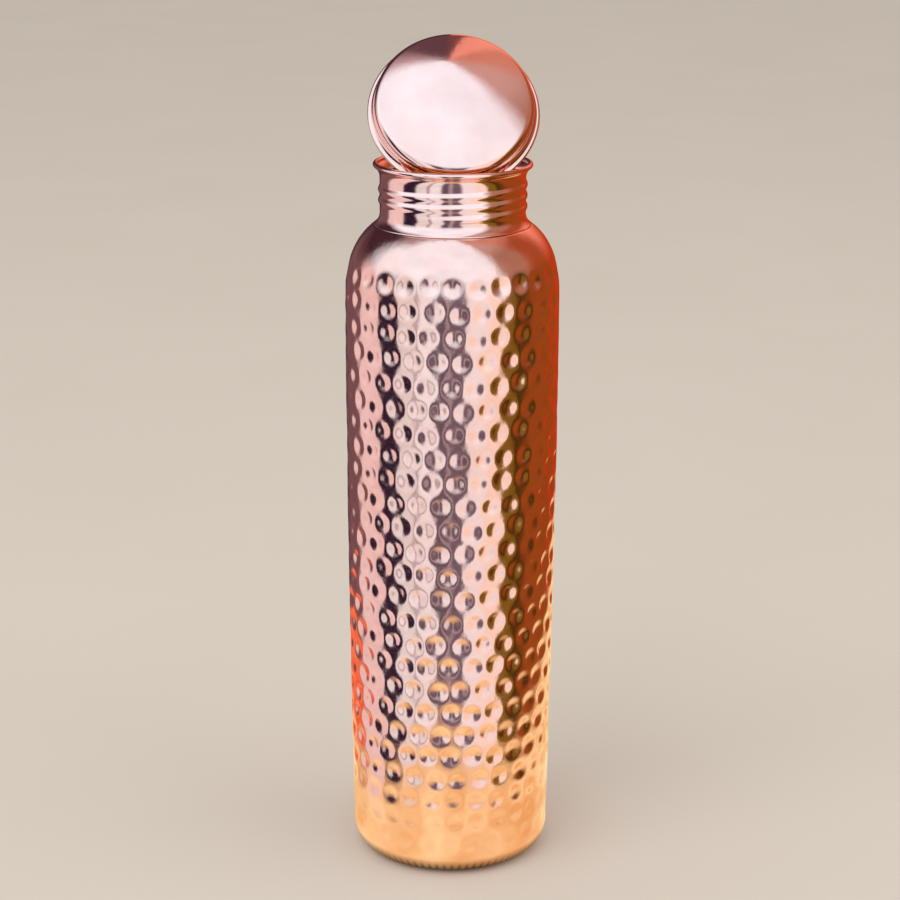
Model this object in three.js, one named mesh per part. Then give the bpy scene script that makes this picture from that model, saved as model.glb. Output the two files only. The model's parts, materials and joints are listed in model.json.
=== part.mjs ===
// Hammered copper water bottle with a screw cap that leans, unscrewed, in the mouth.
// Millimetres, +Z up, origin at the centre of the foot. The front of the bottle faces -Y.
//
// Six pieces: a hammered body shell, a neck collar with a rolled thread and a flared lip,
// a base disc pressed into the foot, and a cap made of a domed shell, a threaded plug and
// a soft seal ring. Every piece is a surface of revolution. The hammer marks on the body
// are shallower than its sheet is thick, and are left to the surface finish.

import * as THREE from 'three';

// ---- driving dimensions -------------------------------------------------------------

const FACETS = 40; // flats round each turned piece
const SHEET = 0.6; // thickness of the copper sheet
const GAP = 0.3; // solder gap or running gap between neighbouring pieces

const BODY_RADIUS = 36.6; // widest, just below the shoulder
const SHOULDER_START = 201.3;
const SHOULDER_RISE = 11.5; // how far the rounding holds the wall's direction
const SHOULDER_REACH = 9.2; // and the direction of the slope beside the neck
const FOOT_RADIUS = 34.7; // the body tapers slightly towards the foot
const FOOT_CORNER = 8; // radius of the rounded bottom corner
const FOOT_HEM = 22; // the sheet is folded in under the base as far as this radius

const NECK_RADIUS = 24.7;
const NECK_CORNER = 228.6; // height at which the neck's wall would meet the shoulder
const NECK_FILLET = 2.5; // how far the rounding reaches from that corner
const SHOULDER_SLOPE = 37.3; // of the shoulder beside the neck, degrees below level
const SHOULDER_GAP = 0.75; // between the fillet and the edge of the shoulder
const SHOULDER_LAP = 2.5; // the collar's flange reaches this far under the shoulder
const LAP_GAP = 0.45; // between that flange and the shoulder above it
const FLARE_START = 242.6;
const FLARE_CORNER = 245.2; // where the wall and the flare would meet
const LIP_BEAD = { radius: 25.9, height: 247, size: 1.1, from: -70, to: 170 }; // rolled edge

const THREAD_PITCH = 3.7; // right-handed
const NECK_THREAD = { rise: 0.5, startAngle: -129, startHeight: 232, turns: 2.5 };

const BASE_RECESS = { radius: 15, corner: 18, height: 4.5 }; // pushed-up middle of the base
const BASE_STEP = { radius: 19, height: 2.7 }; // half-way down from it
const BASE_REST = { corner: 20, radius: 22.5 }; // where the base lies on the foot's hem
const BASE_EDGE = -50; // its rim follows the bottom corner up to this angle, degrees

const CAP_RIM = { radius: 28, height: 0.75, size: 0.75, from: 195, to: 470 }; // rolled edge
const CAP_WALL_RADIUS = 26.5;
const CAP_WALL_START = 4.6;
const CAP_SHOULDER = { radius: 23.7, height: 6, size: 2.8 }; // rounding below the dome
const DOME_EDGE_SLOPE = 20; // of the dome where it meets that rounding, degrees

const PLUG_RADIUS = 23.5;
const PLUG_DEPTH = 14; // below the skirt's lower edge
const PLUG_CORNER = 1.5;
const PLUG_FLANGE = { radius: 25.6, height: 2.8 };
const PLUG_THREAD = { rise: 0.8, startAngle: 0, startHeight: -11.2, turns: 2 };

const SEAL = { inner: 23.9, outer: 25.8, bottom: 0.5, top: 2.5 };

const CAP_PLACE = new THREE.Vector3(0.15, -1.4, 264.2); // centre of the skirt's lower edge
const CAP_LEAN = 52.2; // from upright towards the front, degrees
const CAP_YAW = 2.5; // and then to the right

// ---- finishes -----------------------------------------------------------------------

const hammeredCopper = new THREE.MeshStandardMaterial({ color: 0xd98e6e, roughness: 0.18, metalness: 1 });
const polishedCopper = new THREE.MeshStandardMaterial({ color: 0xe29a7c, roughness: 0.12, metalness: 1 });
const spunCopper = new THREE.MeshStandardMaterial({ color: 0xc97c58, roughness: 0.3, metalness: 1 });
const silicone = new THREE.MeshStandardMaterial({ color: 0xdcd8cf, roughness: 0.6, metalness: 0 });

// ---- outlines: points of radius and height --------------------------------------------

function radians(degrees) {
  return (degrees * Math.PI) / 180;
}

function point(radius, height) {
  return new THREE.Vector2(radius, height);
}

// A step of the given length, at an angle above the outward direction.
function step(from, length, angle) {
  return point(from.x + length * Math.cos(radians(angle)), from.y + length * Math.sin(radians(angle)));
}

function line(from, to, steps) {
  return new THREE.LineCurve(from, to).getPoints(steps);
}

function bend(from, corner, to, steps) {
  return new THREE.QuadraticBezierCurve(from, corner, to).getPoints(steps);
}

function arc(centre, size, fromAngle, toAngle, steps) {
  const points = [];
  for (let i = 0; i <= steps; i++) {
    const angle = fromAngle + ((toAngle - fromAngle) * i) / steps;
    points.push(step(point(centre.radius, centre.height), size, angle));
  }
  return points;
}

// Leaves out points that repeat the one before, where two stretches join.
function join(...stretches) {
  return stretches.flat().filter((here, i, all) => i === 0 || here.distanceTo(all[i - 1]) > 1e-4);
}

// The same line moved by a distance to the left of its direction.
function offset(points, distance) {
  return points.map((here, i) => {
    const before = points[Math.max(i - 1, 0)];
    const after = points[Math.min(i + 1, points.length - 1)];
    const arriving = (before === here ? after : here).clone().sub(before).normalize();
    const leaving = after.clone().sub(after === here ? before : here).normalize();
    const sideways = point(-arriving.y, arriving.x);
    const miter = point(-arriving.y - leaving.y, arriving.x + leaving.x).normalize();
    return here.clone().addScaledVector(miter, distance / miter.dot(sideways));
  });
}

// A closed outline of sheet: the given line is its outer face, with the inside on its left.
function sheetRing(outerFace) {
  return [...outerFace, ...offset(outerFace, SHEET).reverse(), outerFace[0].clone()];
}

// ---- threads ------------------------------------------------------------------------

// How far a helical bead stands out at an angle, in degrees, and a height. It fades in
// and out over an eighth of a turn.
function threadRise(thread, angle, height) {
  const firstTurn = ((((angle - thread.startAngle) % 360) + 360) % 360) / 360;
  let rise = 0;
  for (let turn = firstTurn; turn <= thread.turns; turn++) {
    const distance = Math.abs(height - thread.startHeight - THREAD_PITCH * turn);
    if (distance < THREAD_PITCH / 2) {
      const fade = Math.min(1, 8 * turn, 8 * (thread.turns - turn));
      rise += thread.rise * fade * Math.cos((Math.PI * distance) / THREAD_PITCH) ** 2;
    }
  }
  return rise;
}

// Moves the points at or beyond a radius outwards along the thread.
function cutThread(geometry, thread, fromRadius) {
  const position = geometry.attributes.position;
  for (let i = 0; i < position.count; i++) {
    const x = position.getX(i);
    const y = position.getY(i);
    const radius = Math.hypot(x, y);
    if (radius > fromRadius - 0.01) {
      const angle = (Math.atan2(y, x) * 180) / Math.PI;
      const growth = 1 + threadRise(thread, angle, position.getZ(i)) / radius;
      position.setXY(i, x * growth, y * growth);
    }
  }
}

// ---- pieces -------------------------------------------------------------------------

function turned(name, outline, material) {
  const geometry = new THREE.LatheGeometry(outline, FACETS);
  geometry.rotateX(Math.PI / 2);
  const mesh = new THREE.Mesh(geometry, material);
  mesh.name = name;
  return mesh;
}

// Straight, slightly tapered wall, rounded shoulder and folded-in foot, from one sheet.
function bodyShell() {
  const neckCorner = point(NECK_RADIUS, NECK_CORNER);
  const edge = step(neckCorner, NECK_FILLET + SHOULDER_GAP, -SHOULDER_SLOPE);
  const shoulder = new THREE.CubicBezierCurve(
    point(BODY_RADIUS, SHOULDER_START),
    point(BODY_RADIUS, SHOULDER_START + SHOULDER_RISE),
    step(edge, SHOULDER_REACH, -SHOULDER_SLOPE),
    edge,
  );
  const footCentre = { radius: FOOT_RADIUS - FOOT_CORNER, height: FOOT_CORNER };
  const outerFace = join(
    [point(FOOT_HEM, 0)],
    arc(footCentre, FOOT_CORNER, -90, 0, 5),
    bend(
      point(FOOT_RADIUS, FOOT_CORNER),
      point(BODY_RADIUS, SHOULDER_START / 2),
      point(BODY_RADIUS, SHOULDER_START),
      4,
    ),
    shoulder.getPoints(6),
  );
  return turned('body_shell', sheetRing(outerFace), hammeredCopper);
}

// Threaded neck with a flared, rolled lip. Its flange steps in and laps under the shoulder.
function neckCollar() {
  const corner = point(NECK_RADIUS, NECK_CORNER);
  const filletTop = point(NECK_RADIUS, NECK_CORNER + NECK_FILLET);
  const filletEnd = step(corner, NECK_FILLET, -SHOULDER_SLOPE);
  const lapTop = step(filletEnd, GAP, -SHOULDER_SLOPE);
  const lapStart = step(lapTop, SHEET + LAP_GAP, -SHOULDER_SLOPE - 90);
  const lapEnd = step(lapStart, SHOULDER_LAP, -SHOULDER_SLOPE);
  const flareTop = step(point(LIP_BEAD.radius, LIP_BEAD.height), LIP_BEAD.size, LIP_BEAD.from);
  const flareStart = point(NECK_RADIUS, FLARE_START);
  const wallSteps = Math.round((FLARE_START - filletTop.y) / (THREAD_PITCH / 4));
  const outerFace = join(
    [lapEnd, lapStart],
    bend(filletEnd, corner, filletTop, 3),
    line(filletTop, flareStart, wallSteps),
    bend(flareStart, point(NECK_RADIUS, FLARE_CORNER), flareTop, 4),
  );
  const innerFace = offset(outerFace, SHEET).reverse();
  const lip = arc(LIP_BEAD, LIP_BEAD.size, LIP_BEAD.from, LIP_BEAD.to, 6);
  const outline = [...join(outerFace, lip), ...innerFace.slice(1), lapEnd.clone()];
  const collar = turned('neck_collar', outline, polishedCopper);
  cutThread(collar.geometry, NECK_THREAD, 0);
  return collar;
}

// Shallow pan held by the foot's hem: pushed up in the middle, its rim turned up into the
// rounded corner of the body.
function baseDisc() {
  const rest = SHEET + GAP;
  const footCentre = { radius: FOOT_RADIUS - FOOT_CORNER, height: FOOT_CORNER };
  const recessEdge = point(BASE_RECESS.radius, BASE_RECESS.height);
  const recessCorner = point(BASE_RECESS.corner, BASE_RECESS.height);
  const middle = point(BASE_STEP.radius, BASE_STEP.height);
  const lowerFace = join(
    [point(0, BASE_RECESS.height)],
    bend(recessEdge, recessCorner, middle, 2),
    bend(middle, point(BASE_REST.corner, rest), point(BASE_REST.radius, rest), 2),
    arc(footCentre, FOOT_CORNER - rest, -90, BASE_EDGE, 2),
  );
  const upperFace = offset(lowerFace, SHEET);
  return turned('base_disc', [...lowerFace, ...upperFace.reverse()], spunCopper);
}

// Shallow dome, rounded edge, short wall and a skirt that flares to a rolled rim.
function capShell() {
  const domeRadius = CAP_SHOULDER.radius / Math.sin(radians(DOME_EDGE_SLOPE)) + CAP_SHOULDER.size;
  const domeEdge = step(
    point(CAP_SHOULDER.radius, CAP_SHOULDER.height),
    CAP_SHOULDER.size,
    90 - DOME_EDGE_SLOPE,
  );
  const domeCentre = { radius: 0, height: domeEdge.y - domeRadius * Math.cos(radians(DOME_EDGE_SLOPE)) };
  const skirtTop = step(point(CAP_RIM.radius, CAP_RIM.height), CAP_RIM.size, 110);
  const wallStart = point(CAP_WALL_RADIUS, CAP_WALL_START);
  const outerFace = join(
    bend(skirtTop, point(CAP_WALL_RADIUS, CAP_WALL_START / 2), wallStart, 3),
    arc(CAP_SHOULDER, CAP_SHOULDER.size, 0, 90 - DOME_EDGE_SLOPE, 4),
    arc(domeCentre, domeRadius, 90 - DOME_EDGE_SLOPE, 90, 4),
  );
  const innerFace = offset(outerFace, SHEET).reverse();
  innerFace[0].x = 0;
  outerFace.at(-1).x = 0;
  const rim = arc(CAP_RIM, CAP_RIM.size, CAP_RIM.from, CAP_RIM.to, 6);
  return turned('cap_shell', join(innerFace, rim, outerFace), polishedCopper);
}

// Closed cup with the cap's thread. Its flange is soldered inside the shell.
function capPlug() {
  const floor = -PLUG_DEPTH;
  const inner = PLUG_RADIUS - SHEET;
  const wallStart = floor + PLUG_CORNER;
  const threadTop = PLUG_THREAD.startHeight + THREAD_PITCH * (PLUG_THREAD.turns + 0.5);
  const cornerCentre = { radius: PLUG_RADIUS - PLUG_CORNER, height: wallStart };
  const wallSteps = Math.round((threadTop - wallStart) / (THREAD_PITCH / 4));
  const outline = join(
    [point(0, floor)],
    arc(cornerCentre, PLUG_CORNER, -90, 0, 2),
    line(point(PLUG_RADIUS, wallStart), point(PLUG_RADIUS, threadTop), wallSteps),
    [point(PLUG_RADIUS, PLUG_FLANGE.height)],
    [point(PLUG_FLANGE.radius, PLUG_FLANGE.height)],
    [point(PLUG_FLANGE.radius, PLUG_FLANGE.height + SHEET)],
    [point(inner, PLUG_FLANGE.height + SHEET)],
    arc(cornerCentre, PLUG_CORNER - SHEET, 0, -90, 2),
    [point(0, floor + SHEET)],
  );
  const plug = turned('cap_plug', outline, spunCopper);
  cutThread(plug.geometry, PLUG_THREAD, PLUG_RADIUS);
  return plug;
}

// Flat ring that the lip presses against the plug's flange.
function capSeal() {
  const outline = [
    point(SEAL.inner, SEAL.bottom),
    point(SEAL.outer, SEAL.bottom),
    point(SEAL.outer, SEAL.top),
    point(SEAL.inner, SEAL.top),
    point(SEAL.inner, SEAL.bottom),
  ];
  return turned('cap_seal', outline, silicone);
}

// ---- assembly -----------------------------------------------------------------------

const cap = new THREE.Group();
cap.add(capShell(), capPlug(), capSeal());
cap.position.copy(CAP_PLACE);
cap.rotation.set(radians(CAP_LEAN), 0, radians(CAP_YAW), 'ZYX');

const bottle = new THREE.Group();
bottle.add(bodyShell(), neckCollar(), baseDisc(), cap);

export default bottle;
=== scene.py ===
"""Hammered copper water bottle: its looks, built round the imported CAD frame.

Each CAD node is stood for by one finer piece. The body has hammer marks and flutes that the
CAD leaves out, and its inner wall stands further in to clear them. The bead of the lip is
thinner than the CAD's. Outlines are in millimetres, as radius and height, in the frame of
the CAD; meshes are in metres.
"""
import json
import math

import bpy
import numpy as np
from mathutils import Matrix, Vector


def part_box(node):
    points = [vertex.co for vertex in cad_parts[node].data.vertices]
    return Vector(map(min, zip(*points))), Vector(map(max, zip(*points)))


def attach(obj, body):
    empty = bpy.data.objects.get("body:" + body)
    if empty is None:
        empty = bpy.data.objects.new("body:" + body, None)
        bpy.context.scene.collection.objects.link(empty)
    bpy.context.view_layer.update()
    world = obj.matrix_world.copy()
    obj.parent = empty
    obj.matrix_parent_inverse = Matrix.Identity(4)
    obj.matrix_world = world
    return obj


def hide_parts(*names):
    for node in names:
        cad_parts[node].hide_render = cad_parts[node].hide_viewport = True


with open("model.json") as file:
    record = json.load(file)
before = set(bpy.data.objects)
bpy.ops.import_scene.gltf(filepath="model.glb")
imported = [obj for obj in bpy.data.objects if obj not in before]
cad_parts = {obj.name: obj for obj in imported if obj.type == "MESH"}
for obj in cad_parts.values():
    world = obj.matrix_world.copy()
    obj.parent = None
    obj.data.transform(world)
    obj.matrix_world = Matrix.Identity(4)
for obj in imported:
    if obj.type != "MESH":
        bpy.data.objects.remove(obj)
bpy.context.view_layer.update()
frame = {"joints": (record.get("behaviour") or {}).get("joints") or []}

# ---- sizes, in millimetres -----------------------------------------------------------

MM = 0.001
SHEET = 0.6
BODY_RADIUS = (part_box("body_shell")[1].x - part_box("body_shell")[0].x) / 2 / MM
SHOULDER_START = 201.3
SHOULDER_RISE = 11.5
SHOULDER_REACH = 9.7
FOOT_RADIUS = 34.7
FOOT_CORNER = 8.0
FOOT_HEM = 22.0
CRIMP_TOP = -14  # degrees round the foot's corner, where its finer columns end
NECK_RADIUS = 24.7
NECK_CORNER = 228.6
NECK_FILLET = 2.5
SHOULDER_SLOPE = 37.3
SEAM = 0.03  # hair line left between the shoulder and the neck
LAP_GAP = 0.3
LAP_DROP = 1.05
LAP_LENGTH = 2.5
FLARE_START = 242.6
FLARE_RISE = 2.6
LIP_BEAD_SIZE = 0.85
LIP_BEAD = (26.15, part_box("neck_collar")[1].z / MM - LIP_BEAD_SIZE)
LIP_BEAD_ARC = (-70, 170)
THREAD_PITCH = 3.7
NECK_THREAD = {"rise": 0.55, "angle": -129, "height": 232.0, "turns": 2.5}
PLUG_THREAD = {"rise": 0.8, "angle": 0, "height": -11.2, "turns": 2.0}
BASE_GAP = 0.3  # between the base disc and the folded foot
BASE_RECESS = (15.0, 4.5)
BASE_RECESS_CORNER = 18.0
BASE_STEP = (19.0, 2.7)
BASE_REST_CORNER, BASE_REST = 20.0, 22.5
BASE_EDGE = -50  # degrees round the foot's corner, where the disc ends
CAP_RIM = (28.0, 0.75)
CAP_RIM_SIZE = 0.75
CAP_RIM_ARC = (195, 470)
CAP_WALL_RADIUS = 26.5
CAP_WALL_START = 4.6
CAP_SHOULDER = (23.7, 6.0)
CAP_SHOULDER_SIZE = 2.8
DOME_EDGE_SLOPE = 20.0
PLUG_RADIUS = 23.5
PLUG_DEPTH = 14.0
PLUG_CORNER = 1.5
PLUG_FLANGE = (25.6, 2.8)
PLUG_EDGE = 0.15
SEAL_INNER, SEAL_OUTER = 23.9, 25.8
SEAL_BOTTOM, SEAL_TOP = 0.5, 2.5
SEAL_ROUNDING = 0.45

# Hammer marks: round bowls in rows round the body, shallower towards the foot.
MARK_RADIUS = 3.95
MARK_DEPTH = 0.74
MARK_FADE = 0.6  # part of the depth that is lost at the foot
MARK_ROW_PITCH = 8.3
MARK_FIRST_ROW = 204.0  # along the wall, from the top of the foot's corner
MARK_ROWS = 25
MARKS_ROUND = 28

# Crimped flutes along the bottom edge, between angles round the foot's corner.
FLUTES = 77
FLUTE_DEPTH = 0.42
FLUTE_BOTTOM = (-88, -78)
FLUTE_TOP = (-20, -44)

COLUMNS = 288  # faces round the hammered body
TURNED_COLUMNS = 192
RING_STEP = 0.8
INNER_RINGS = 6  # the inner wall has one ring for this many outer ones

# The photo's point of view, fitted to its outline of the bottle. The place is in metres, the
# angles are in radians, and the lens and sensor are in millimetres.
CAMERA_PLACE = (-0.0006, -0.760, 0.3724)
CAMERA_PITCH, CAMERA_ROLL = 0.2884, 0.0041
CAMERA_LENS = 90.98
CAMERA_SENSOR = 36

rng = np.random.default_rng(7)


# ---- outlines ------------------------------------------------------------------------

def step(start, length, angle):
    """The point a length away, at an angle in degrees above the outward direction."""
    return (
        start[0] + length * math.cos(math.radians(angle)),
        start[1] + length * math.sin(math.radians(angle)),
    )


def line(start, end, steps):
    t = np.linspace(0, 1, steps + 1)[:, None]
    return np.array(start) * (1 - t) + np.array(end) * t


def bend(start, corner, end, steps):
    t = np.linspace(0, 1, steps + 1)[:, None]
    return (
        np.array(start) * (1 - t) ** 2
        + np.array(corner) * 2 * t * (1 - t)
        + np.array(end) * t**2
    )


def cubic(start, first, second, end, steps):
    t = np.linspace(0, 1, steps + 1)[:, None]
    return (
        np.array(start) * (1 - t) ** 3
        + np.array(first) * 3 * t * (1 - t) ** 2
        + np.array(second) * 3 * t**2 * (1 - t)
        + np.array(end) * t**3
    )


def arc(centre, size, start, end, steps):
    angles = np.radians(np.linspace(start, end, steps + 1))
    return np.array(centre) + size * np.column_stack([np.cos(angles), np.sin(angles)])


def join(*stretches):
    """One line of points, without the repeated ones where two stretches meet."""
    points = np.vstack(stretches)
    apart = np.linalg.norm(np.diff(points, axis=0), axis=1) > 1e-5
    return points[np.concatenate([[True], apart])]


def travelled(points):
    """The length along the line up to each point."""
    return np.concatenate([[0], np.cumsum(np.linalg.norm(np.diff(points, axis=0), axis=1))])


def respaced(points, spacing):
    """The same line with points at an even spacing."""
    along = travelled(points)
    places = np.linspace(0, along[-1], max(2, round(along[-1] / spacing) + 1))
    return np.column_stack([np.interp(places, along, points[:, k]) for k in range(2)])


def outward(points):
    """Unit normals to the right of the line's direction."""
    direction = np.gradient(points, axis=0)
    direction /= np.linalg.norm(direction, axis=1)[:, None]
    return np.column_stack([direction[:, 1], -direction[:, 0]])


def offset(points, distance):
    """The line moved to its left."""
    return points - outward(points) * np.reshape(distance, (-1, 1))


def smooth_step(low, high, value):
    t = np.clip((value - low) / (high - low), 0, 1)
    return t * t * (3 - 2 * t)


# ---- meshes --------------------------------------------------------------------------

def angles_round(columns):
    return np.arange(columns) * 2 * math.pi / columns


def ring(radius, height, columns):
    """A ring of vertices. The radius may vary round it. No radius makes one vertex."""
    if np.max(radius) < 1e-6:
        return np.array([[0, 0, float(np.mean(height))]])
    angle = angles_round(columns)
    flat = np.ones(columns)
    return np.column_stack([radius * np.cos(angle), radius * np.sin(angle), height * flat])


def bridge(a, b, n, m):
    """Faces between a ring of n vertices from index a and one of m from index b."""
    if n == 1:
        return [(a, b + (j + 1) % m, b + j) for j in range(m)]
    if m == 1:
        return [(a + j, a + (j + 1) % n, b) for j in range(n)]
    if m >= n:
        k = m // n
        upper = [[b + (k * j + i) % m for i in range(k, -1, -1)] for j in range(n)]
        return [(a + j, a + (j + 1) % n, *upper[j]) for j in range(n)]
    k = n // m
    lower = [[a + (k * j + i) % n for i in range(k + 1)] for j in range(m)]
    return [(*lower[j], b + (j + 1) % m, b + j) for j in range(m)]


def mesh_of(name, rings, closed, material, attribute=None):
    """A smooth mesh through the rings, in order."""
    starts = np.concatenate([[0], np.cumsum([len(r) for r in rings])])
    faces = []
    for i in range(len(rings) - (0 if closed else 1)):
        j = (i + 1) % len(rings)
        faces += bridge(int(starts[i]), int(starts[j]), len(rings[i]), len(rings[j]))
    mesh = bpy.data.meshes.new(name)
    mesh.from_pydata((np.vstack(rings) * MM).tolist(), [], faces)
    if attribute is not None:
        layer = mesh.attributes.new(attribute[0], "FLOAT", "POINT")
        layer.data.foreach_set("value", np.asarray(attribute[1], np.float32))
    mesh.shade_smooth()
    mesh.materials.append(material)
    piece = bpy.data.objects.new(name, mesh)
    bpy.context.scene.collection.objects.link(piece)
    return piece


def turned(name, outline, material, columns=TURNED_COLUMNS, closed=True):
    rings = [ring(radius, height, columns) for radius, height in outline]
    return mesh_of(name, rings, closed, material)


def stand_for(piece, node, body):
    """The piece is shown instead of a CAD node, and moves with its body."""
    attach(piece, body)
    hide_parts(node)


# ---- threads -------------------------------------------------------------------------

def thread_rise(thread, angle, height):
    """How far a helical bead stands out at each angle, in radians, at one height.

    It fades in and out over an eighth of a turn at its ends.
    """
    first = np.mod(np.degrees(angle) - thread["angle"], 360) / 360
    rise = np.zeros_like(first)
    for whole in range(int(thread["turns"]) + 1):
        turn = first + whole
        distance = np.abs(height - thread["height"] - THREAD_PITCH * turn)
        inside = (distance < THREAD_PITCH / 2) & (turn <= thread["turns"])
        fade = np.clip(8 * np.minimum(turn, thread["turns"] - turn), 0, 1)
        bead = np.cos(math.pi * np.minimum(distance / THREAD_PITCH, 0.5)) ** 2
        rise += np.where(inside, thread["rise"] * fade * bead, 0)
    return rise


def threaded_rings(outline, thread, cut, columns=TURNED_COLUMNS):
    """Rings of an outline, moved outwards along a thread where cut says so."""
    angle = angles_round(columns)
    rings = []
    for (radius, height), is_cut in zip(outline, cut):
        rise = thread_rise(thread, angle, height) if is_cut else 0
        rings.append(ring(radius + rise, height, columns))
    return rings


# ---- hammered body -------------------------------------------------------------------

def hammer_marks():
    """Angle, place along the wall, radius and depth of every mark, row by row."""
    rows = []
    for row in range(MARK_ROWS):
        along = MARK_FIRST_ROW - MARK_ROW_PITCH * row
        shift = 0.42 * (row % 2) + rng.uniform(-0.2, 0.2)
        place = np.arange(MARKS_ROUND) + shift + rng.normal(0, 0.045, MARKS_ROUND)
        softness = 1 - MARK_FADE * smooth_step(45, 5, along)
        rows.append({
            "along": along + rng.normal(0, 0.35, MARKS_ROUND),
            "angle": place * 2 * math.pi / MARKS_ROUND,
            "radius": MARK_RADIUS * rng.uniform(0.92, 1.06, MARKS_ROUND),
            "depth": MARK_DEPTH * softness * rng.uniform(0.85, 1.1, MARKS_ROUND),
        })
    return rows


def mark_relief(rows, angle, radius, along):
    """Depth of the hammering round one ring of the wall, negative inwards.

    Each mark is a bowl with a smooth rim.
    """
    relief = np.zeros_like(angle)
    for row in rows:
        if abs(np.mean(row["along"]) - along) > MARK_RADIUS + 3:
            continue
        for i in range(MARKS_ROUND):
            turn = np.mod(angle - row["angle"][i] + math.pi, 2 * math.pi) - math.pi
            square = (turn * radius) ** 2 + (along - row["along"][i]) ** 2
            relief -= row["depth"][i] * np.clip(1 - square / row["radius"][i] ** 2, 0, 1) ** 2
    return relief


def sheet_waves(angle, along):
    """Slow unevenness of the beaten sheet."""
    return (
        0.035 * np.sin(5 * angle + 0.09 * along + 1.0)
        + 0.03 * np.sin(9 * angle - 0.17 * along)
        + 0.02 * np.sin(14 * angle + 0.31 * along + 2.0)
    )


def flute_relief(angle, corner_angle):
    """Narrow grooves of the crimped bottom edge."""
    zone = smooth_step(*FLUTE_BOTTOM, corner_angle) * smooth_step(*FLUTE_TOP, corner_angle)
    groove = (0.5 + 0.5 * np.cos(FLUTES * angle)) ** 3
    return -FLUTE_DEPTH * zone * groove


def body_outline():
    """Outer line of the body: hem with the crimped edge, rest of the corner, wall, shoulder."""
    corner = (FOOT_RADIUS - FOOT_CORNER, FOOT_CORNER)
    edge = step((NECK_RADIUS, NECK_CORNER), NECK_FILLET + SEAM, -SHOULDER_SLOPE)
    hem = line((FOOT_HEM, 0), (corner[0], 0), 6)
    crimp = arc(corner, FOOT_CORNER, -90, CRIMP_TOP, 20)
    above = arc(corner, FOOT_CORNER, CRIMP_TOP, 0, 20)
    wall = bend(
        (FOOT_RADIUS, FOOT_CORNER),
        (BODY_RADIUS, SHOULDER_START / 2),
        (BODY_RADIUS, SHOULDER_START),
        300,
    )
    shoulder = cubic(
        (BODY_RADIUS, SHOULDER_START),
        (BODY_RADIUS, SHOULDER_START + SHOULDER_RISE),
        step(edge, SHOULDER_REACH, -SHOULDER_SLOPE),
        edge,
        100,
    )
    return join(hem, crimp), above, wall, shoulder


def body_shell(material):
    crimp, above, wall, shoulder = body_outline()
    outer = join(
        respaced(crimp, RING_STEP),
        respaced(join(above, wall), RING_STEP),
        respaced(shoulder, RING_STEP),
    )
    # Length along the wall, from the top of the foot's corner.
    along = travelled(outer) - travelled(join(crimp, above))[-1]
    normal = outward(outer)
    marks = hammer_marks()
    rings, depths = [], []
    for (radius, height), (across, up), place in zip(outer, normal, along):
        out = radius - FOOT_RADIUS + FOOT_CORNER
        corner_angle = math.degrees(math.atan2(height - FOOT_CORNER, out))
        crimped = out > 0 and corner_angle < CRIMP_TOP - 1
        columns = 3 * COLUMNS if crimped else COLUMNS
        angle = angles_round(columns)
        hammered = mark_relief(marks, angle, radius, place)
        relief = hammered + sheet_waves(angle, place) * smooth_step(-8, 4, place)
        if crimped:
            relief = relief + flute_relief(angle, corner_angle)
        relief = relief * smooth_step(0, 2, along[-1] - place)
        rings.append(ring(radius + relief * across, height + relief * up, columns))
        depths.append(-hammered / MARK_DEPTH)
    # The inner wall is plain, and stands clear of the deepest marks.
    extra = MARK_DEPTH * smooth_step(-6, 4, along) * smooth_step(214, 208, along)
    inner = offset(outer, SHEET + extra)[::-INNER_RINGS]
    inner = join(offset(outer, SHEET)[-1:], inner[1:], [[FOOT_HEM, SHEET]])
    inner_columns = COLUMNS // 3
    rings += [ring(radius, height, inner_columns) for radius, height in inner]
    depths += [np.zeros(inner_columns)] * len(inner)
    # Depth of the hammering, which the hammered copper turns into painted shade in the marks.
    attribute = ("mark_depth", np.concatenate(depths))
    return mesh_of("body_shell_hammered", rings, True, material, attribute)


# ---- other pieces --------------------------------------------------------------------

def neck_collar(material):
    corner = (NECK_RADIUS, NECK_CORNER)
    fillet_top = (NECK_RADIUS, NECK_CORNER + NECK_FILLET)
    fillet_end = step(corner, NECK_FILLET, -SHOULDER_SLOPE)
    lap_top = step(fillet_end, LAP_GAP, -SHOULDER_SLOPE)
    lap_start = step(lap_top, LAP_DROP, -SHOULDER_SLOPE - 90)
    lap_end = step(lap_start, LAP_LENGTH, -SHOULDER_SLOPE)
    flare_top = step(LIP_BEAD, LIP_BEAD_SIZE, LIP_BEAD_ARC[0])
    flare_start = (NECK_RADIUS, FLARE_START)
    outer = join(
        line(lap_end, lap_start, 3),
        line(lap_start, fillet_end, 3),
        bend(fillet_end, corner, fillet_top, 12),
        line(fillet_top, flare_start, 60),
        bend(flare_start, (NECK_RADIUS, FLARE_START + FLARE_RISE), flare_top, 14),
    )
    lip = arc(LIP_BEAD, LIP_BEAD_SIZE, *LIP_BEAD_ARC, 24)
    inner = offset(outer, SHEET)[::-1]
    outline = join(outer, lip, inner[1:])
    rings = threaded_rings(outline, NECK_THREAD, np.ones(len(outline), bool))
    return mesh_of("neck_collar_threaded", rings, True, material)


def base_disc(material):
    rest = SHEET + BASE_GAP
    corner = (FOOT_RADIUS - FOOT_CORNER, FOOT_CORNER)
    recess_corner = (BASE_RECESS_CORNER, BASE_RECESS[1])
    lower = join(
        line((0, BASE_RECESS[1]), BASE_RECESS, 10),
        bend(BASE_RECESS, recess_corner, BASE_STEP, 8),
        bend(BASE_STEP, (BASE_REST_CORNER, rest), (BASE_REST, rest), 8),
        arc(corner, FOOT_CORNER - rest, -90, BASE_EDGE, 8),
    )
    upper = offset(lower, SHEET)[::-1]
    upper[-1, 0] = 0
    return turned("base_disc_pan", join(lower, upper), material, closed=False)


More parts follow.
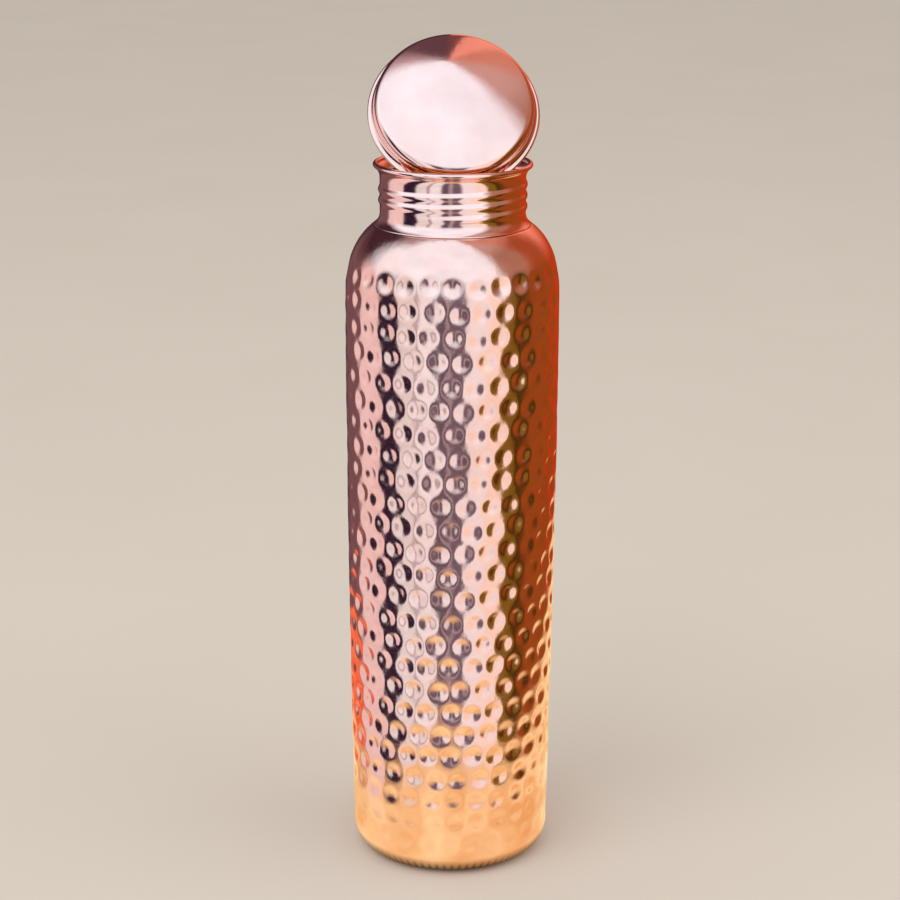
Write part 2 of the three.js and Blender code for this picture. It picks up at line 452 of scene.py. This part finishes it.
def cap_shell(material):
    slope = math.radians(DOME_EDGE_SLOPE)
    dome_radius = CAP_SHOULDER[0] / math.sin(slope) + CAP_SHOULDER_SIZE
    dome_edge = step(CAP_SHOULDER, CAP_SHOULDER_SIZE, 90 - DOME_EDGE_SLOPE)
    dome_centre = (0, dome_edge[1] - dome_radius * math.cos(slope))
    skirt_top = step(CAP_RIM, CAP_RIM_SIZE, CAP_RIM_ARC[1] - 360)
    wall_start = (CAP_WALL_RADIUS, CAP_WALL_START)
    outer = join(
        bend(skirt_top, (CAP_WALL_RADIUS, CAP_WALL_START / 2), wall_start, 12),
        arc(CAP_SHOULDER, CAP_SHOULDER_SIZE, 0, 90 - DOME_EDGE_SLOPE, 16),
        arc(dome_centre, dome_radius, 90 - DOME_EDGE_SLOPE, 90, 30),
    )
    inner = offset(outer, SHEET)[::-1]
    inner[0, 0] = 0
    outer[-1, 0] = 0
    rim = arc(CAP_RIM, CAP_RIM_SIZE, *CAP_RIM_ARC, 20)
    return turned("cap_shell_domed", join(inner, rim, outer), material, closed=False)


def cap_plug(material):
    floor = -PLUG_DEPTH
    inner = PLUG_RADIUS - SHEET
    wall_start = floor + PLUG_CORNER
    flange_radius, flange_height = PLUG_FLANGE
    corner = (PLUG_RADIUS - PLUG_CORNER, wall_start)
    edge = PLUG_EDGE
    outline = join(
        line((0, floor), (PLUG_RADIUS - PLUG_CORNER, floor), 8),
        arc(corner, PLUG_CORNER, -90, 0, 8),
        line((PLUG_RADIUS, wall_start), (PLUG_RADIUS, flange_height - edge), 70),
        bend(
            (PLUG_RADIUS, flange_height - edge),
            (PLUG_RADIUS, flange_height),
            (PLUG_RADIUS + edge, flange_height),
            3,
        ),
        line((PLUG_RADIUS + 2 * edge, flange_height), (flange_radius - edge, flange_height), 2),
        arc((flange_radius - edge, flange_height + edge), edge, -90, 0, 3),
        arc((flange_radius - edge, flange_height + SHEET - edge), edge, 0, 90, 3),
        line((inner + edge, flange_height + SHEET), (inner, flange_height + SHEET - edge), 1),
        line((inner, flange_height), (inner, wall_start), 6),
        arc(corner, PLUG_CORNER - SHEET, 0, -90, 6),
        [[0, floor + SHEET]],
    )
    cut = (outline[:, 0] > PLUG_RADIUS - 0.01) & (outline[:, 1] < flange_height - edge)
    rings = threaded_rings(outline, PLUG_THREAD, cut)
    return mesh_of("cap_plug_threaded", rings, False, material)


def cap_seal(material):
    r = SEAL_ROUNDING
    outline = join(
        arc((SEAL_INNER + r, SEAL_BOTTOM + r), r, 180, 270, 6),
        arc((SEAL_OUTER - r, SEAL_BOTTOM + r), r, 270, 360, 6),
        arc((SEAL_OUTER - r, SEAL_TOP - r), r, 0, 90, 6),
        arc((SEAL_INNER + r, SEAL_TOP - r), r, 90, 180, 6),
    )
    return turned("cap_seal_ring", outline, material)


def cap_matrix():
    """Frame of the leaning cap: its axis and centre are those of the joint it turns on."""
    joint = next(j for j in frame["joints"] if j["name"] == "cap_turn")
    axis = Vector(joint["axis"]).normalized()
    lean = math.acos(axis.z)
    yaw = math.atan2(axis.x, -axis.y)
    turn = Matrix.Rotation(yaw, 4, "Z") @ Matrix.Rotation(lean, 4, "X")
    return Matrix.Translation(joint["pos_m"]) @ turn


# ---- materials -----------------------------------------------------------------------

def add(tree, kind, inputs=(), **settings):
    """A new shader node. An input is given a value, or a socket to link from."""
    node = tree.nodes.new("ShaderNode" + kind)
    for name, value in settings.items():
        setattr(node, name, value)
    for name, value in dict(inputs).items():
        if isinstance(value, bpy.types.NodeSocket):
            tree.links.new(value, node.inputs[name])
        else:
            node.inputs[name].default_value = value
    return node


def new_material(name):
    material = bpy.data.materials.new(name)
    material.use_nodes = True
    return material, material.node_tree, material.node_tree.nodes["Principled BSDF"]


def mapped(tree, value, low, high, to_low, to_high):
    return add(tree, "MapRange", {
        "Value": value,
        "From Min": low,
        "From Max": high,
        "To Min": to_low,
        "To Max": to_high,
    }).outputs["Result"]


def mixed(tree, factor, a, b):
    node = add(tree, "Mix", data_type="RGBA")
    tree.links.new(factor, node.inputs[0])
    for socket, value in ((node.inputs[6], a), (node.inputs[7], b)):
        if isinstance(value, bpy.types.NodeSocket):
            tree.links.new(value, socket)
        else:
            socket.default_value = value
    return node.outputs[2]


def copper(name, bright, deep, roughness, line_depth, ripple_depth, marked=False):
    """Polished copper: uneven tone, cloudy gloss, fine lines left by turning and wiping. Where
    marked, painted shade darkens the hollows of the hammer marks.
    """
    material, tree, shader = new_material(name)
    place = add(tree, "TexCoord").outputs["Object"]
    flat = add(tree, "VectorMath", {0: place, 1: (1, 1, 0)}, operation="MULTIPLY").outputs[0]
    radius = add(tree, "VectorMath", {0: flat}, operation="LENGTH").outputs["Value"]
    height = add(tree, "SeparateXYZ", {0: place}).outputs["Z"]
    rings = add(tree, "CombineXYZ", {"X": radius, "Z": height}).outputs[0]

    patches = add(tree, "TexNoise", {"Vector": place, "Scale": 45, "Detail": 6, "Roughness": 0.62})
    specks = add(tree, "TexNoise", {"Vector": place, "Scale": 900, "Detail": 3, "Roughness": 0.6})
    turning = add(tree, "TexNoise", {"Vector": rings, "Scale": 1700, "Detail": 4, "Roughness": 0.7})
    wiping = add(tree, "VectorMath", {0: place, 1: (1, 1, 9)}, operation="MULTIPLY").outputs[0]
    wipes = add(tree, "TexNoise", {"Vector": wiping, "Scale": 240, "Detail": 5, "Roughness": 0.7})

    tone = mapped(tree, patches.outputs[0], 0.32, 0.68, 0, 1)
    colour = mixed(tree, tone, bright, deep)
    if marked:
        # Painted shade: the base colour goes toward the deep tone in the deepest part of each
        # hammer mark.
        depth = add(tree, "Attribute", attribute_name="mark_depth").outputs["Fac"]
        painted_mark_shade = mapped(tree, depth, 0.1, 1.0, 0, 0.35)
        colour = mixed(tree, painted_mark_shade, colour, deep)
    tree.links.new(colour, shader.inputs["Base Color"])

    gloss = mapped(tree, wipes.outputs[0], 0.35, 0.7, roughness * 0.8, roughness * 1.35)
    tree.links.new(gloss, shader.inputs["Roughness"])
    shader.inputs["Metallic"].default_value = 1.0

    fine = add(tree, "Bump", {
        "Strength": 0.25,
        "Distance": line_depth,
        "Height": turning.outputs[0],
    })
    grain = add(tree, "Bump", {
        "Strength": 0.2,
        "Distance": 0.000008,
        "Height": specks.outputs[0],
        "Normal": fine.outputs[0],
    })
    ripples = add(tree, "TexNoise", {"Vector": place, "Scale": 330, "Detail": 2})
    uneven = add(tree, "Bump", {
        "Strength": 0.5,
        "Distance": ripple_depth,
        "Height": ripples.outputs[0],
        "Normal": grain.outputs[0],
    })
    tree.links.new(uneven.outputs[0], shader.inputs["Normal"])
    return material


def silicone(name):
    material, tree, shader = new_material(name)
    place = add(tree, "TexCoord").outputs["Object"]
    clouds = add(tree, "TexNoise", {"Vector": place, "Scale": 160, "Detail": 3})
    grain = add(tree, "TexNoise", {"Vector": place, "Scale": 2600, "Detail": 2})
    colour = mixed(tree, clouds.outputs[0], (0.80, 0.78, 0.73, 1), (0.70, 0.67, 0.61, 1))
    tree.links.new(colour, shader.inputs["Base Color"])
    gloss = mapped(tree, grain.outputs[0], 0.3, 0.7, 0.42, 0.6)
    tree.links.new(gloss, shader.inputs["Roughness"])
    shader.inputs["Subsurface Weight"].default_value = 0.2
    shader.inputs["Subsurface Scale"].default_value = 0.002
    bump = add(tree, "Bump", {"Strength": 0.3, "Distance": 0.00002, "Height": grain.outputs[0]})
    tree.links.new(bump.outputs[0], shader.inputs["Normal"])
    return material


# ---- studio --------------------------------------------------------------------------

PALE = (0.80, 0.77, 0.73, 1)
BELOW = (0.85, 0.36, 0.13, 1)

# What the metal mirrors: level with the bottle, higher, and overhead. Places and colours
# are set to match the photo's reflections, so they suit its point of view best.
# Directions are degrees round the bottle: 0 is the front, positive to the right.
LOW_PANELS = [
    (-180, -164, (0.085, 0.032, 0.048)),
    (-154, -124, (0.20, 0.108, 0.13)),
    (-116, -85, (0.96, 0.83, 0.90)),
    (-82, -62, (0.03, 0.014, 0.045)),
    (-58, -43, (0.98, 1.08, 1.20)),
    (-40, -38, (0.44, 0.40, 0.48)),
    (-35, -20, (1.02, 1.14, 1.30)),
    (-16, -8, (0.14, 0.11, 0.17)),
    (-5, -2, (0.50, 0.46, 0.55)),
    (1, 12, (0.18, 0.15, 0.22)),
    (17, 34, (1.06, 1.14, 1.28)),
    (40, 53, (1.16, 1.04, 0.98)),
    (57, 70, (0.24, 0.14, 0.014)),
    (74, 77, (0.07, 0.040, 0.008)),
    (94, 128, (0.33, 0.085, 0.014)),
    (142, 180, (0.52, 0.055, 0.010)),
]
HIGH_PANELS = [
    (-180, -118, (0.055, 0.020, 0.034)),
    (-95, 48, (1.10, 1.34, 1.62)),
    (64, 92, (0.46, 0.24, 0.18)),
    (106, 128, (0.44, 0.10, 0.035)),
    (146, 180, (1.0, 0.33, 0.23)),
]
TOP_PANELS = [
    (-180, -128, (0.13, 0.07, 0.10)),
    (-106, -102, (0.48, 0.38, 0.44)),
    (-82, 42, (1.08, 1.32, 1.62)),
    (60, 84, (0.64, 0.43, 0.42)),
    (104, 122, (0.70, 0.31, 0.24)),
    (134, 162, (1.02, 0.46, 0.38)),
    (165, 180, (0.20, 0.075, 0.09)),
]


def panels(tree, turn, bands):
    """Colour round the studio, from a list of (from, to, colour)."""
    node = add(tree, "ValToRGB", {"Fac": turn})
    stops = node.color_ramp.elements
    while len(stops) < 2 * len(bands):
        stops.new(0.5)
    sides = [(side, colour) for low, high, colour in bands for side in (low, high)]
    for stop, (side, colour) in zip(stops, sides):
        stop.position = 0.5 + side / 360
        stop.color = (*colour, 1)
    return node.outputs["Color"]


def studio():
    """Plain pale surroundings, and three rings of soft panels for the metal to mirror."""
    world = bpy.data.worlds.new("studio")
    bpy.context.scene.world = world
    world.use_nodes = True
    tree = world.node_tree
    tree.nodes.clear()
    toward = add(tree, "TexCoord").outputs["Generated"]
    quarter = (0, 0, math.pi / 2)
    from_front = add(tree, "Mapping", {"Vector": toward, "Rotation": quarter}).outputs[0]
    turn = add(tree, "TexGradient", {"Vector": from_front}, gradient_type="RADIAL").outputs["Fac"]
    rise = add(tree, "SeparateXYZ", {0: toward}).outputs["Z"]
    high = mapped(tree, rise, 0.02, 0.35, 0, 1)
    colour = mixed(tree, high, panels(tree, turn, LOW_PANELS), panels(tree, turn, HIGH_PANELS))
    top = mapped(tree, rise, 0.72, 0.86, 0, 1)
    colour = mixed(tree, top, colour, panels(tree, turn, TOP_PANELS))
    below = mapped(tree, rise, -0.95, -0.87, 1, 0)
    colour = mixed(tree, below, colour, BELOW)
    clouds = add(tree, "TexNoise", {"Vector": toward, "Scale": 2.2, "Detail": 3}).outputs[0]
    shade = mapped(tree, clouds, 0.3, 0.7, 0.88, 1.06)
    colour = add(tree, "VectorMath", {0: colour, "Scale": shade}, operation="SCALE").outputs[0]
    mirrored = add(tree, "Background", {"Color": colour, "Strength": 1.0})
    plain = add(tree, "Background", {"Color": PALE, "Strength": 0.9})
    glossy = add(tree, "LightPath").outputs["Is Glossy Ray"]
    both = add(tree, "MixShader", {0: glossy, 1: plain.outputs[0], 2: mirrored.outputs[0]})
    output = add(tree, "OutputWorld")
    tree.links.new(both.outputs[0], output.inputs["Surface"])


def disc(name, centre, radius, height, material):
    outline = [(0, height), (radius, height)]
    piece = turned(name, outline, material, columns=96, closed=False)
    piece.data.flip_normals()
    piece.location = (*centre, 0)
    return piece


def floor():
    """Plain pale floor that reflections do not see."""
    material, tree, shader = new_material("pale_floor")
    place = add(tree, "TexCoord").outputs["Object"]
    clouds = add(tree, "TexNoise", {"Vector": place, "Scale": 6, "Detail": 3})
    colour = mixed(tree, clouds.outputs[0], (0.74, 0.68, 0.61, 1), (0.70, 0.64, 0.57, 1))
    tree.links.new(colour, shader.inputs["Base Color"])
    shader.inputs["Roughness"].default_value = 0.7
    shader.inputs["Specular IOR Level"].default_value = 0
    ground = disc("floor", (0, 0), 6000, -0.05, material)
    ground.visible_glossy = False


def card(name, centre, half_size, turn, height, bright, deep):
    """A level oval glow that only reflections see, soft at its edge, with a painted contact shadow
    round the bottle's foot.
    """
    material, tree, shader = new_material(name)
    tree.nodes.remove(shader)
    place = add(tree, "NewGeometry").outputs["Position"]
    clouds = add(tree, "TexNoise", {"Vector": place, "Scale": 22, "Detail": 4}).outputs[0]
    colour = mixed(tree, mapped(tree, clouds, 0.35, 0.65, 0, 1), bright, deep)
    away = add(tree, "VectorMath", {0: place}, operation="LENGTH").outputs["Value"]
    # Painted contact shadow: the glow dims close to the bottle's axis, round its foot.
    painted_foot_shadow = mapped(tree, away, 0.030, 0.040, 0.12, 1.15)
    glow = add(tree, "Emission", {"Color": colour, "Strength": painted_foot_shadow})
    own_place = add(tree, "TexCoord").outputs["Object"]
    oval = add(tree, "VectorMath", {0: own_place}, operation="LENGTH")
    edge = mapped(tree, oval.outputs["Value"], 0.66, 0.98, 0, 1)
    clear = add(tree, "BsdfTransparent")
    both = add(tree, "MixShader", {0: edge, 1: glow.outputs[0], 2: clear.outputs[0]})
    tree.links.new(both.outputs[0], tree.nodes["Material Output"].inputs["Surface"])
    piece = disc(name, centre, 1 / MM, height, material)
    piece.scale = (*half_size, 1)
    piece.rotation_euler.z = math.radians(turn)
    piece.visible_camera = False
    piece.visible_diffuse = False
    piece.visible_shadow = False


def cards():
    """What the metal mirrors of the table, and light that has bounced inside the mouth."""
    amber, deep_amber = (1.0, 0.50, 0.16, 1), (0.82, 0.36, 0.10, 1)
    gold, deep_gold = (1.0, 0.86, 0.50, 1), (0.82, 0.50, 0.20, 1)
    red, deep_red = (1.0, 0.25, 0.12, 1), (0.75, 0.12, 0.05, 1)
    card("mouth_card", (0, 0), (0.022, 0.022), 0, 222, amber, deep_amber)
    card("warm_card", (0.055, 0.12), (0.35, 0.15), 72, -0.04, gold, deep_gold)
    card("red_card", (-0.11, 0.13), (0.10, 0.12), 30, -0.045, red, deep_red)


def soft_light(name, place, size, energy):
    """A large square lamp aimed at the middle of the bottle."""
    light = bpy.data.lights.new(name, "AREA")
    light.size = size
    light.energy = energy
    lamp = bpy.data.objects.new(name, light)
    lamp.location = place
    aim = Vector((0, 0, 0.12)) - Vector(place)
    lamp.rotation_euler = aim.to_track_quat("-Z", "Y").to_euler()
    lamp.visible_glossy = False
    bpy.context.scene.collection.objects.link(lamp)


def camera():
    data = bpy.data.cameras.new("camera")
    data.lens = CAMERA_LENS
    data.sensor_width = CAMERA_SENSOR
    eye = bpy.data.objects.new("camera", data)
    pitch = Matrix.Rotation(math.pi / 2 - CAMERA_PITCH, 4, "X")
    roll = Matrix.Rotation(CAMERA_ROLL, 4, "Z")
    eye.matrix_world = Matrix.Translation(CAMERA_PLACE) @ pitch @ roll
    bpy.context.scene.collection.objects.link(eye)
    bpy.context.scene.camera = eye


# ---- assembly ------------------------------------------------------------------------

hammered = copper(
    "hammered_copper",
    bright=(0.95, 0.65, 0.56, 1),
    deep=(0.90, 0.56, 0.45, 1),
    roughness=0.13,
    line_depth=0.000004,
    ripple_depth=0.00012,
    marked=True,
)
polished = copper(
    "polished_copper",
    bright=(0.95, 0.66, 0.57, 1),
    deep=(0.91, 0.58, 0.48, 1),
    roughness=0.10,
    line_depth=0.000010,
    ripple_depth=0.00003,
)
spun = copper(
    "spun_copper",
    bright=(0.90, 0.56, 0.44, 1),
    deep=(0.80, 0.44, 0.32, 1),
    roughness=0.22,
    line_depth=0.000020,
    ripple_depth=0.00003,
)

stand_for(body_shell(hammered), "body_shell", "bottle")
stand_for(neck_collar(polished), "neck_collar", "bottle")
stand_for(base_disc(spun), "base_disc", "bottle")

cap_pieces = [
    (cap_shell(polished), "cap_shell", "cap", "polished_copper"),
    (cap_plug(spun), "cap_plug", "cap", "spun_copper"),
    (cap_seal(silicone("silicone")), "cap_seal", "seal", "silicone"),
]
for piece, node, body, slot in cap_pieces:
    piece.matrix_world = cap_matrix()
    stand_for(piece, node, body)

studio()
floor()
cards()
soft_light("key", (-0.9, -1.1, 1.6), 1.6, 13)
soft_light("fill", (1.2, -0.4, 1.3), 1.6, 5)
camera()
bpy.context.scene.view_settings.view_transform = "Standard"
